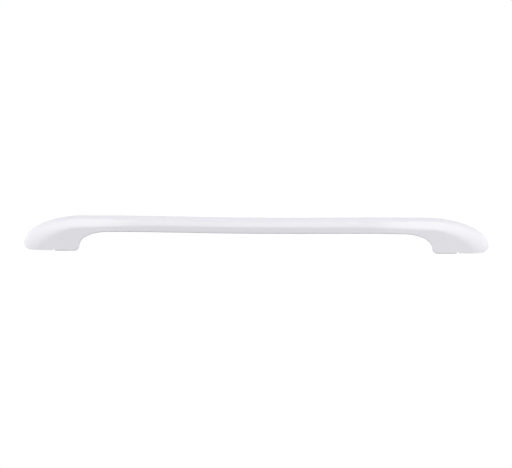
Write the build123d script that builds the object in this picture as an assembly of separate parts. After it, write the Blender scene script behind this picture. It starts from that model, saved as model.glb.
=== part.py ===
from build123d import *
from build123d import SkipClean
import math
import os

# Oven door handle: one white moulding, a slightly bowed grip that stands on two feet.
# X runs along the handle, Y across it, Z away from the door. The feet rest on Z = 0.

# Overall
overall_length = 724.0
overall_height = 52.0
grip_dip = 2.0
dip_start = 127.0

# Width of the skin at the door, and where the foot narrows into the grip
foot_width = 37.0
grip_width = 31.0
narrowing_start = 82.0
narrowing_length = 108.0
side_draft = 1.0

# Nose: three quarter ellipses meet at the tip
tip_height = 7.0
tip_flat = 0.08
ring_spacing = 9.0
nose_top_reach = 94.5
nose_plan_reach = 31.0
nose_low_reach = 26.0
flank_offset = 18.5
flank_reach = 69.0

# Crown, crease and bevel, on the feet and at the middle of the grip
foot_crown_share = 0.52
grip_crown_share = 0.8
foot_crown_slope = 22.0
grip_crown_slope = 26.0
nose_crown_slope = 54.0
crease_break = 22.0
grip_crease_break = 44.0
foot_bevel_drop = 12.5
grip_bevel_drop = 9.0
least_flank = 0.1
crease_tension = 0.78
shoulder_tension = 0.47

# Rounded flank of the grip
grip_tuck = 4.5
flank_round = 9.0
trim_depth = 2.0

# Finger space, from the tips inwards
finger_height = 30.4
finger_dip = 1.7
foot_length = 88.0
scoop_length = 42.0
heel_radius = 9.0
rim_radius = 2.0

# Toe, which stands clear of the door, and the notch where it starts
toe_length = 45.5
toe_relief = 1.2
notch_width = 3.0
notch_height = 2.0

# Core inside each foot
wall = 3.2
lid = 3.6
core_nose_gap = 13.0
rib_thickness = 2.4
rib_recess = 3.5

# Screw boss and its threaded insert
screw_setback = 60.5
boss_diameter = 13.0
insert_diameter = 7.0
insert_length = 10.0
insert_recess = 0.3
thread_minor_diameter = 4.2
thread_relief_depth = 8.0
knurl_count = 12
knurl_depth = 0.45
knurl_groove_width = 1.6
lead_in = 0.6

half_length = overall_length / 2
half_foot = foot_width / 2
half_grip = grip_width / 2
foot_face = half_length - foot_length
scoop_start = foot_face - scoop_length
toe_start = half_length - toe_length
screw_offset = half_length - screw_setback
boss_radius = boss_diameter / 2
insert_radius = insert_diameter / 2
SIDES = {"left": -1, "right": 1}


def ease(share):
    """Smooth step from 0 to 1."""
    share = min(1.0, max(0.0, share))
    return share * share * (3 - 2 * share)


def quarter(distance, reach):
    """Rise of a quarter ellipse, 0 at the tip and 1 from reach onwards."""
    left = max(0.0, reach - distance) / reach
    return math.sqrt(max(0.0, 1 - left * left))


def blend(start, end, share):
    """Value between start and end."""
    return start + (end - start) * share


def toward(point, other, share):
    """Point on the way from one point to another."""
    return tuple(blend(a, b, share) for a, b in zip(point, other))


def ring(distance, core=False):
    """Closed outline of the skin, or of the core inside it, at a distance from the tip."""
    inset, lowering = (wall, lid) if core else (0, 0)
    grip = ease((distance - narrowing_start) / narrowing_length)
    plan = quarter(distance, nose_plan_reach)
    nose = 1 - ease(distance / nose_top_reach)
    dip = grip_dip * ease((distance - dip_start) / (half_length - dip_start))
    top = blend(tip_height, overall_height - dip, quarter(distance, nose_top_reach)) - lowering
    bottom = blend(tip_height, -trim_depth, quarter(distance, nose_low_reach))
    bottom = -trim_depth if core else blend(bottom, finger_height - flank_round, grip)
    half_width = blend(half_foot, half_grip, grip) * plan - inset

    # Crown between the two creases, which fade out towards the tip
    share = blend(foot_crown_share, grip_crown_share, grip)
    crease_y = share * half_width
    crown_slope = blend(blend(foot_crown_slope, grip_crown_slope, grip), nose_crown_slope, nose)
    crown_slope = math.radians(crown_slope)
    crown_rise = crease_y * math.tan(crown_slope / 2)
    crease = (crease_y, top - crown_rise)
    crown_reach = crown_rise / 0.75 / math.sin(crown_slope)
    crown_pull = (crease_y - crown_reach * math.cos(crown_slope), crease[1] + crown_reach * math.sin(crown_slope))

    # Drafted flank up to the shoulder, tucked in under the grip and round at the nose
    flank = quarter(distance - flank_offset, flank_reach) if distance > flank_offset else 0.0
    lowest = blend(bottom, (finger_height + crease[1]) / 2, grip)
    drop = blend(foot_bevel_drop, grip_bevel_drop, grip)
    shoulder_z = blend(lowest, crease[1] - drop, flank)
    shoulder_z = max(shoulder_z, blend(lowest, crease[1], least_flank))
    lean = math.tan(math.radians(side_draft)) * plan

    def on_flank(height):
        return (half_width - lean * height, height)

    heel = ((half_width - grip_tuck * grip) * plan, bottom)
    shoulder = on_flank(shoulder_z)
    heel_pull = on_flank(blend(bottom, shoulder_z, 1 / 3))
    flank_pull = on_flank(blend(bottom, shoulder_z, 2 / 3))

    # Bevel: leaves the crease at its own slope and turns into the flank
    slope = crown_slope + math.radians(blend(crease_break, grip_crease_break, grip)) * (1 - nose) ** 2
    corner_drop = min((shoulder[0] - crease_y) * math.tan(slope), 0.85 * (crease[1] - shoulder_z))
    corner = on_flank(crease[1] - corner_drop)
    shoulder_pull = toward(shoulder, corner, shoulder_tension)
    crease_pull = toward(crease, corner, crease_tension)

    rising = [[heel, heel_pull, flank_pull, shoulder], [shoulder, shoulder_pull, crease_pull, crease]]
    falling = [[(-y, z) for y, z in reversed(curve)] for curve in reversed(rising)]
    crown = [crease, crown_pull, (-crown_pull[0], crown_pull[1]), (-crease_y, crease[1])]
    outline = [[(-heel[0], bottom), heel], *rising, crown, *falling]
    x = half_length + tip_flat - distance
    return Wire([Edge.make_bezier(*[Vector(x, y, z) for y, z in curve]) for curve in outline])


def skin():
    """Outer skin: each half is lofted from the middle to the tip, through evenly spaced rings."""
    nose_steps = round(nose_top_reach * 1.2 / ring_spacing)
    grip_steps = round((half_length - nose_top_reach) / ring_spacing)
    middle = half_length + tip_flat
    distances = [blend(middle, nose_top_reach, step / grip_steps) for step in range(grip_steps)]
    last_turn = math.acos(1 - tip_flat / nose_top_reach)
    turns = [blend(math.pi / 2, last_turn, step / nose_steps) for step in range(nose_steps + 1)]
    distances += [nose_top_reach * (1 - math.cos(turn)) for turn in turns]
    half = Solid.make_loft([ring(distance) for distance in distances])
    return half.fuse(mirror(half, about=Plane.YZ))


def underside():
    """Everything below the feet, and the finger space between them."""
    floor = -10 * trim_depth
    far = half_length + 10 * trim_depth
    pad_x = foot_face + heel_radius
    with BuildSketch(Plane.XZ) as profile:
        with BuildLine():
            Spline(
                (-scoop_start, finger_height),
                (0, finger_height - finger_dip),
                (scoop_start, finger_height),
                tangents=[(1, 0), (1, 0)],
            )
            for side in SIDES.values():
                scoop_angle, bend_angle = (0, 180) if side > 0 else (90, 270)
                EllipticalCenterArc(
                    (side * scoop_start, heel_radius), scoop_length, finger_height - heel_radius,
                    start_angle=scoop_angle, arc_size=90,
                )
                CenterArc((side * pad_x, heel_radius), heel_radius, bend_angle, 90)
                Polyline((side * pad_x, 0), (side * far, 0), (side * far, floor))
            Line((-far, floor), (far, floor))
        make_face()
    return extrude(profile.sketch, amount=foot_width, both=True)


def round_rims(body, cutter):
    """Round the long edges of the finger space and pads, on both sides."""

    def on_rim(edge):
        middle = edge @ 0.5
        return abs(middle.Y) > half_grip / 2 and cutter.distance_to(middle) < rim_radius / 100

    return fillet(body.edges().filter_by(on_rim), rim_radius)


def outside():
    """The moulding before it is cored: a rounded middle, with a toe at each end."""
    body = skin()
    cutter = underside()
    depth = 4 * overall_height
    between_toes = Box(2 * toe_start, 2 * foot_width, depth)
    under_toes = Pos(0, 0, toe_relief - depth / 2) * Box(2 * overall_length, 2 * foot_width, depth)
    toes = body - between_toes - under_toes
    middle = round_rims((body - cutter) & between_toes, cutter)
    return middle.fuse(*toes.solids())


def foot_core():
    """What is cored out of the right foot from below, around the ribs and the screw boss."""
    steps = 12
    deepest = foot_length - heel_radius - wall
    reach = [blend(core_nose_gap, deepest, step / steps) for step in range(steps + 1)]
    core = Solid.make_loft([ring(distance, core=True) for distance in reach])
    rib_height = overall_height - rib_recess
    upright = (Align.CENTER, Align.CENTER, Align.MIN)
    long_rib = Pos(screw_offset, 0, rib_recess) * Box(foot_length * 2, rib_thickness, rib_height, align=upright)
    for x in (screw_offset, toe_start):
        core -= Pos(x, 0, rib_recess) * Box(rib_thickness, foot_width, rib_height, align=upright)
    core -= long_rib
    return core - Pos(screw_offset, 0, 0) * Cylinder(boss_radius, overall_height, align=upright)


def screw_bore():
    """Stepped hole up the boss: the seat of the insert and the relief above it."""
    upright = (Align.CENTER, Align.CENTER, Align.MIN)
    seat_depth = insert_recess + insert_length
    seat = Cylinder(insert_radius, seat_depth, align=upright)
    relief_radius = (insert_radius + thread_minor_diameter / 2) / 2
    return seat + Cylinder(relief_radius, seat_depth + thread_relief_depth, align=upright)


def handle():
    """The whole moulding. Its faces stay split at the toes, so that the flatter ones take few facets."""
    with SkipClean():
        body = outside()
        core = foot_core()
        notch = Box(notch_width, 2 * foot_width, 2 * notch_height)
        for side in SIDES.values():
            body -= core if side > 0 else mirror(core, about=Plane.YZ)
            body -= Pos(side * screw_offset, 0, 0) * screw_bore()
            body -= Pos(side * toe_start, 0, 0) * notch
    return body


def screw_insert():
    """Brass insert with a plain waist between two knurled bands, standing on Z = 0."""
    upright = (Align.CENTER, Align.CENTER, Align.MIN)
    insert = Cylinder(insert_radius, insert_length, align=upright)
    insert = chamfer(insert.edges(), lead_in)
    waist = Cylinder(insert_radius + 1, knurl_groove_width)
    waist -= Cylinder(insert_radius - lead_in, knurl_groove_width)
    insert -= Pos(0, 0, insert_length / 2) * waist
    flute = Rot(0, 0, 45) * Box(knurl_depth * math.sqrt(2), knurl_depth * math.sqrt(2), 3 * insert_length)
    insert -= PolarLocations(insert_radius, knurl_count) * flute
    return insert - Cylinder(thread_minor_diameter / 2, 3 * insert_length)


def main():
    os.makedirs("parts", exist_ok=True)
    export_step(handle(), "parts/handle.step")
    for name, side in SIDES.items():
        seated = Pos(side * screw_offset, 0, insert_recess) * screw_insert()
        export_step(seated, f"parts/screw_insert_{name}.step")


if __name__ == "__main__":
    main()
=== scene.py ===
import math

import bpy
from mathutils import Matrix, Vector

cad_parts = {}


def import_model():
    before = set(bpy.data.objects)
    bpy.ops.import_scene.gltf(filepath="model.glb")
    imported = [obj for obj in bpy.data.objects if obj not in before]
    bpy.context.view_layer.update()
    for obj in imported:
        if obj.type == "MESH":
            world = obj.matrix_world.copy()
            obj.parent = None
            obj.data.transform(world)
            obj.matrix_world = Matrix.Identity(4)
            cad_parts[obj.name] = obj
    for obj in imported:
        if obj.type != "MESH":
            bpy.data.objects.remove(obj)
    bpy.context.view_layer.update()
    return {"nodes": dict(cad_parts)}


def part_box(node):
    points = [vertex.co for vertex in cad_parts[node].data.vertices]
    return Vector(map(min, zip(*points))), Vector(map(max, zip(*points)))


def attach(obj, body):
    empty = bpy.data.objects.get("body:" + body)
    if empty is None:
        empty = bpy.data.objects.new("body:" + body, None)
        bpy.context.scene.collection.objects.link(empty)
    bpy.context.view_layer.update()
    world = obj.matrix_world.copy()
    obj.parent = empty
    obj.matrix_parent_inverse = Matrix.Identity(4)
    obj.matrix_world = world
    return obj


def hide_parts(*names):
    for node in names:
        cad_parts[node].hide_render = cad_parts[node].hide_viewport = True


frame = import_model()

# Photograph: lengths in metres, but the sensor in Blender's millimetres
PHOTO_WIDTH = 512
PIXELS_PER_METRE = 642.5
CAMERA_AZIMUTH = math.radians(2.5)
CAMERA_ELEVATION = math.radians(16.0)
CAMERA_ROLL = math.radians(-0.25)
CAMERA_DISTANCE = 6.0
CAMERA_TARGET = Vector((0.0005, 0.0, 0.0247))
CAMERA_CLIP_END = 100
SENSOR_MILLIMETRES = 36.0

# Backdrop and light
WHITE = (1, 1, 1, 1)
BLACK = (0, 0, 0, 1)
FLOOR_SIZE = 200.0
FLOOR_GLOW = 1.02
SHADE_COLOUR = (0.97, 0.965, 1.05, 1)
AMBIENT = 0.015
KEY_ELEVATION, KEY_FOCUS, KEY_STRENGTH = math.radians(46), 4.8, 2.47
SIDE_ELEVATION, SIDE_FOCUS = math.radians(1), 2.3
SIDE_STRENGTHS = {-1: 1.72, 1: 1.62}
BACK_ELEVATION, BACK_FOCUS, BACK_STRENGTH = math.radians(3), 2.0, 0.9
BOUNCE_FOCUS, BOUNCE_STRENGTH = 1.0, 0.12
FILL_PLACE = Vector((1.0, -1.0, 0.1))
FILL_AIM = Vector((0.3, 0.0, 0.02))
FILL_SIZE = 0.5
FILL_POWER = 0.9

# Notch beside each pad, as the CAD node has it
TOE_LENGTH = 0.0455
NOTCH_WIDTH, NOTCH_HEIGHT = 0.003, 0.002

# The photograph's notch lies further in and higher. The shift fades out along the rim
NOTCH_SHIFT, NOTCH_RISE = 0.0026, 0.0012
NOTCH_SHIFT_REACH = 0.01
RIM_BREADTH = 0.005
NEAR = 0.00005

# Materials: lengths in metres
NOISE_LOW, NOISE_HIGH = 0.3, 0.7
PLASTIC_COLOUR = (0.775, 0.768, 0.805, 1)
PLASTIC_TINT = (0.762, 0.758, 0.798, 1)
PLASTIC_ROUGHNESS = (0.30, 0.38)
PLASTIC_IOR = 1.5
TINT_SIZE = 0.04
SHEEN_PATCH_SIZE = 0.012
PEEL_SIZE, PEEL_DEPTH = 0.006, 0.000012
GRAIN_SIZE, GRAIN_DEPTH = 0.0005, 0.000004
BRASS_COLOUR = (0.72, 0.5, 0.21, 1)
BRASS_TARNISH = (0.52, 0.34, 0.15, 1)
BRASS_ROUGHNESS = (0.22, 0.42)
TARNISH_SIZE = 0.003
TURNING_RINGS = 14
TURNING_DEPTH = 0.00002

# Screw inserts: M5 thread in a knurled bush, in metres
INSERT_RADIUS = 0.0035
INSERT_SEGMENTS = 72
KNURL_FLUTES = 12
KNURL_DEPTH = 0.0003
GROOVE_WIDTH, GROOVE_DEPTH = 0.0016, 0.0006
LEAD_IN = 0.0006
THREAD_MINOR_RADIUS = 0.0021
THREAD_MAJOR_RADIUS = 0.0025
THREAD_PITCH = 0.0008
STEPS_PER_PITCH = 8
MOUTH_DEPTH = 0.0005
SHARP_ANGLE = math.radians(35)


def new_material(name):
    """A material with only its shader in it, and that shader."""
    material = bpy.data.materials.new(name)
    material.use_nodes = True
    return material, material.node_tree.nodes["Principled BSDF"]


def noise(tree, coordinates, size):
    """Share between 0 and 1 that wanders over the surface in patches of a size in metres."""
    made = tree.nodes.new("ShaderNodeTexNoise")
    tree.links.new(coordinates, made.inputs["Vector"])
    made.inputs["Scale"].default_value = 1 / size
    return made.outputs["Fac"]


def ramp(tree, share, low, high):
    """Value from low to high, over the middle of what noise gives."""
    made = tree.nodes.new("ShaderNodeMapRange")
    tree.links.new(share, made.inputs["Value"])
    limits = {"From Min": NOISE_LOW, "From Max": NOISE_HIGH, "To Min": low, "To Max": high}
    for name, value in limits.items():
        made.inputs[name].default_value = value
    return made.outputs["Result"]


def two_tone(tree, share, first, second):
    """Colour between first and second."""
    made = tree.nodes.new("ShaderNodeMix")
    made.data_type = "RGBA"
    tree.links.new(ramp(tree, share, 0.0, 1.0), made.inputs["Factor"])
    made.inputs["A"].default_value = first
    made.inputs["B"].default_value = second
    return made.outputs["Result"]


def bump(tree, height, depth, under=None):
    """Surface direction of a relief of a depth in metres, on top of another relief."""
    made = tree.nodes.new("ShaderNodeBump")
    made.inputs["Distance"].default_value = depth
    tree.links.new(height, made.inputs["Height"])
    if under:
        tree.links.new(under, made.inputs["Normal"])
    return made.outputs["Normal"]


def plastic():
    """White moulded plastic: satin, faintly wavy, with the fine grain of the mould."""
    material, shader = new_material("white_plastic")
    tree = material.node_tree
    place = tree.nodes.new("ShaderNodeTexCoord").outputs["Object"]
    colour = two_tone(tree, noise(tree, place, TINT_SIZE), PLASTIC_COLOUR, PLASTIC_TINT)
    tree.links.new(colour, shader.inputs["Base Color"])
    roughness = ramp(tree, noise(tree, place, SHEEN_PATCH_SIZE), *PLASTIC_ROUGHNESS)
    tree.links.new(roughness, shader.inputs["Roughness"])
    peel = bump(tree, noise(tree, place, PEEL_SIZE), PEEL_DEPTH)
    grain = bump(tree, noise(tree, place, GRAIN_SIZE), GRAIN_DEPTH, under=peel)
    tree.links.new(grain, shader.inputs["Normal"])
    shader.inputs["IOR"].default_value = PLASTIC_IOR
    return material


def brass():
    """Turned brass of the screw inserts, a little tarnished, with turning marks round the axis."""
    material, shader = new_material("insert_brass")
    tree = material.node_tree
    coordinates = tree.nodes.new("ShaderNodeTexCoord")
    place = coordinates.outputs["Object"]
    colour = two_tone(tree, noise(tree, place, TARNISH_SIZE), BRASS_COLOUR, BRASS_TARNISH)
    tree.links.new(colour, shader.inputs["Base Color"])
    roughness = ramp(tree, noise(tree, place, TARNISH_SIZE / 2), *BRASS_ROUGHNESS)
    tree.links.new(roughness, shader.inputs["Roughness"])
    centred = tree.nodes.new("ShaderNodeMapping")
    centred.inputs["Location"].default_value = (-1 / 2, -1 / 2, 0)
    tree.links.new(coordinates.outputs["Generated"], centred.inputs["Vector"])
    rings = tree.nodes.new("ShaderNodeTexWave")
    rings.wave_type = "RINGS"
    rings.rings_direction = "Z"
    rings.inputs["Scale"].default_value = TURNING_RINGS
    tree.links.new(centred.outputs["Vector"], rings.inputs["Vector"])
    tree.links.new(bump(tree, rings.outputs["Fac"], TURNING_DEPTH), shader.inputs["Normal"])
    shader.inputs["Metallic"].default_value = 1.0
    return material


def replacement(name, mesh, node_name):
    """Make the piece that stands for a CAD node."""
    piece = bpy.data.objects.new(name, mesh)
    bpy.context.scene.collection.objects.link(piece)
    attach(piece, "root")
    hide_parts(node_name)


def moulding(material):
    """The moulding, with the notch beside each pad moved to where the photograph shows it."""
    mesh = frame["nodes"]["handle"].data.copy()
    mesh.name = "moulding"
    half_length, half_width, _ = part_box("handle")[1]
    for vertex in mesh.vertices:
        past = abs(vertex.co.x) - (half_length - TOE_LENGTH)
        share = 1 - max(0, abs(past) - NOTCH_WIDTH / 2) / NOTCH_SHIFT_REACH
        on_rim = abs(vertex.co.y) > half_width - RIM_BREADTH and vertex.co.z < NOTCH_HEIGHT + NEAR
        if share < 0 or not on_rim:
            continue
        vertex.co.x -= math.copysign(NOTCH_SHIFT * share, vertex.co.x)
        in_notch = NEAR - NOTCH_WIDTH / 2 < past < NEAR + NOTCH_WIDTH / 2
        if in_notch and vertex.co.z > NOTCH_HEIGHT - NEAR:
            vertex.co.z += NOTCH_RISE
    mesh.materials.clear()
    mesh.materials.append(material)
    replacement("moulding", mesh, "handle")


def lathe(name, rows):
    """Closed ring of a mesh: each row is one turn of (radius, height) pairs. The last meets the first."""
    turns = len(rows)
    around = len(rows[0])
    angles = [2 * math.pi * step / around for step in range(around)]
    points = [
        (radius * math.cos(angle), radius * math.sin(angle), height)
        for row in rows
        for angle, (radius, height) in zip(angles, row)
    ]
    faces = []
    for row in range(turns):
        below, above = row * around, (row + 1) % turns * around
        for step in range(around):
            after = (step + 1) % around
            faces.append((below + step, below + after, above + after, above + step))
    mesh = bpy.data.meshes.new(name)
    mesh.from_pydata(points, [], faces)
    mesh.polygons.foreach_set("use_smooth", [True] * len(faces))
    mesh.set_sharp_from_angle(angle=SHARP_ANGLE)
    return mesh


def threaded_insert(side, metal):
    """Knurled brass bush with a cut thread, in place of the CAD node with the plain bore."""
    node_name = f"screw_insert_{side}"
    low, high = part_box(node_name)
    length = high[2] - low[2]
    turns = [step / INSERT_SEGMENTS for step in range(INSERT_SEGMENTS)]

    def plain(radius, height):
        return [(radius, height)] * INSERT_SEGMENTS

    def knurled(height):
        flutes = [abs(math.sin(math.pi * KNURL_FLUTES * turn)) for turn in turns]
        return [(INSERT_RADIUS - KNURL_DEPTH * (1 - flute) ** 2, height) for flute in flutes]

    def threaded(height):
        teeth = [abs(2 * ((height / THREAD_PITCH - turn) % 1) - 1) for turn in turns]
        depth = THREAD_MAJOR_RADIUS - THREAD_MINOR_RADIUS
        return [(THREAD_MINOR_RADIUS + depth * tooth, height) for tooth in teeth]

    # Outside, from the foot of the bush to its top, with the plain groove between the knurled bands
    neck = INSERT_RADIUS - GROOVE_DEPTH
    groove_start, groove_end = (length - GROOVE_WIDTH) / 2, (length + GROOVE_WIDTH) / 2
    rows = [plain(INSERT_RADIUS - LEAD_IN, 0), knurled(LEAD_IN)]
    rows += [knurled(groove_start), plain(neck, groove_start), plain(neck, groove_end), knurled(groove_end)]
    rows += [knurled(length - LEAD_IN), plain(INSERT_RADIUS - LEAD_IN, length)]

    # Inside, down the thread to its flared mouth
    steps = round((length - MOUTH_DEPTH) / THREAD_PITCH * STEPS_PER_PITCH)
    rows += [threaded(length - (length - MOUTH_DEPTH) * step / steps) for step in range(steps + 1)]
    rows.append(plain(THREAD_MAJOR_RADIUS + MOUTH_DEPTH / 2, 0))
    name = f"threaded_insert_{side}"
    mesh = lathe(name, rows)
    mesh.transform(Matrix.Translation(((low[0] + high[0]) / 2, (low[1] + high[1]) / 2, low[2])))
    mesh.materials.append(metal)
    replacement(name, mesh, node_name)


def floor():
    """Plain white floor that runs out of sight. The tent's lower half stands for its bounce."""
    half = FLOOR_SIZE / 2
    mesh = bpy.data.meshes.new("floor")
    corners = [(-half, -half, 0), (half, -half, 0), (half, half, 0), (-half, half, 0)]
    mesh.from_pydata(corners, [], [(0, 1, 2, 3)])
    plane = bpy.data.objects.new("floor", mesh)
    bpy.context.scene.collection.objects.link(plane)
    plane.visible_diffuse = False
    plane.visible_glossy = False
    plane.visible_shadow = False
    material, shader = new_material("floor_white")
    shader.inputs["Base Color"].default_value = BLACK
    shader.inputs["Roughness"].default_value = 1.0
    shader.inputs["Specular IOR Level"].default_value = 0.0
    shader.inputs["Emission Color"].default_value = WHITE
    shader.inputs["Emission Strength"].default_value = FLOOR_GLOW
    mesh.materials.append(material)


def towards(x, y, elevation):
    """Unit direction at a height angle above the level direction (x, y)."""
    level = Vector((x, y, 0)).normalized() * math.cos(elevation)
    return Vector((level.x, level.y, math.sin(elevation)))


def world():
    """Light tent: soft boxes above the camera, at both ends, behind and below, in a dim even shade."""
    surroundings = bpy.data.worlds.new("studio")
    bpy.context.scene.world = surroundings
    surroundings.use_nodes = True
    tree = surroundings.node_tree
    direction = tree.nodes.new("ShaderNodeTexCoord").outputs["Generated"]

    def math_node(operation, *values):
        made = tree.nodes.new("ShaderNodeMath")
        made.operation = operation
        for socket, value in zip(made.inputs, values):
            if isinstance(value, (int, float)):
                socket.default_value = value
            else:
                tree.links.new(value, socket)
        return made.outputs[0]

    def softbox(aim, focus, strength):
        """Light that is strongest along aim and falls off smoothly round it."""
        dot = tree.nodes.new("ShaderNodeVectorMath")
        dot.operation = "DOT_PRODUCT"
        tree.links.new(direction, dot.inputs[0])
        dot.inputs[1].default_value = aim
        facing = math_node("MAXIMUM", dot.outputs["Value"], 0.0)
        return math_node("MULTIPLY", math_node("POWER", facing, focus), strength)

    def background(colour, strength):
        made = tree.nodes.new("ShaderNodeBackground")
        made.inputs["Color"].default_value = colour
        tree.links.new(strength, made.inputs["Strength"])
        return made.outputs[0]

    lamps = softbox(towards(0, -1, KEY_ELEVATION), KEY_FOCUS, KEY_STRENGTH)
    for side, strength in SIDE_STRENGTHS.items():
        box = softbox(towards(side, 0, SIDE_ELEVATION), SIDE_FOCUS, strength)
        lamps = math_node("ADD", lamps, box)
    shade = softbox(towards(0, 1, BACK_ELEVATION), BACK_FOCUS, BACK_STRENGTH)
    shade = math_node("ADD", shade, softbox(Vector((0, 0, -1)), BOUNCE_FOCUS, BOUNCE_STRENGTH))
    shade = math_node("ADD", shade, AMBIENT)
    both = tree.nodes.new("ShaderNodeAddShader")
    tree.links.new(background(WHITE, lamps), both.inputs[0])
    tree.links.new(background(SHADE_COLOUR, shade), both.inputs[1])
    tree.links.new(both.outputs[0], tree.nodes["World Output"].inputs["Surface"])


def fill():
    """Low soft box in front and to the right, kept out of the camera's view and of reflections."""
    data = bpy.data.lights.new("fill", "AREA")
    data.size = FILL_SIZE
    data.energy = FILL_POWER
    lamp = bpy.data.objects.new("fill", data)
    bpy.context.scene.collection.objects.link(lamp)
    lamp.location = FILL_PLACE
    lamp.rotation_euler = (FILL_AIM - FILL_PLACE).to_track_quat("-Z", "Y").to_euler()
    lamp.visible_glossy = False
    lamp.visible_camera = False


def camera():
    """Long lens, a little above the handle and a little to its right."""
    data = bpy.data.cameras.new("camera")
    data.sensor_width = SENSOR_MILLIMETRES
    field = PHOTO_WIDTH / PIXELS_PER_METRE
    data.lens = data.sensor_width * CAMERA_DISTANCE / field
    data.clip_end = CAMERA_CLIP_END
    eye = bpy.data.objects.new("camera", data)
    bpy.context.scene.collection.objects.link(eye)
    back = Vector((
        math.sin(CAMERA_AZIMUTH) * math.cos(CAMERA_ELEVATION),
        -math.cos(CAMERA_AZIMUTH) * math.cos(CAMERA_ELEVATION),
        math.sin(CAMERA_ELEVATION),
    ))
    turn = (-back).to_track_quat("-Z", "Y").to_matrix().to_4x4()
    roll = Matrix.Rotation(CAMERA_ROLL, 4, "Z")
    eye.matrix_world = Matrix.Translation(CAMERA_TARGET + back * CAMERA_DISTANCE) @ turn @ roll
    bpy.context.scene.camera = eye


def main():
    moulding(plastic())
    metal = brass()
    for side in ("left", "right"):
        threaded_insert(side, metal)
    floor()
    world()
    fill()
    camera()
    bpy.context.scene.view_settings.view_transform = "Standard"


main()
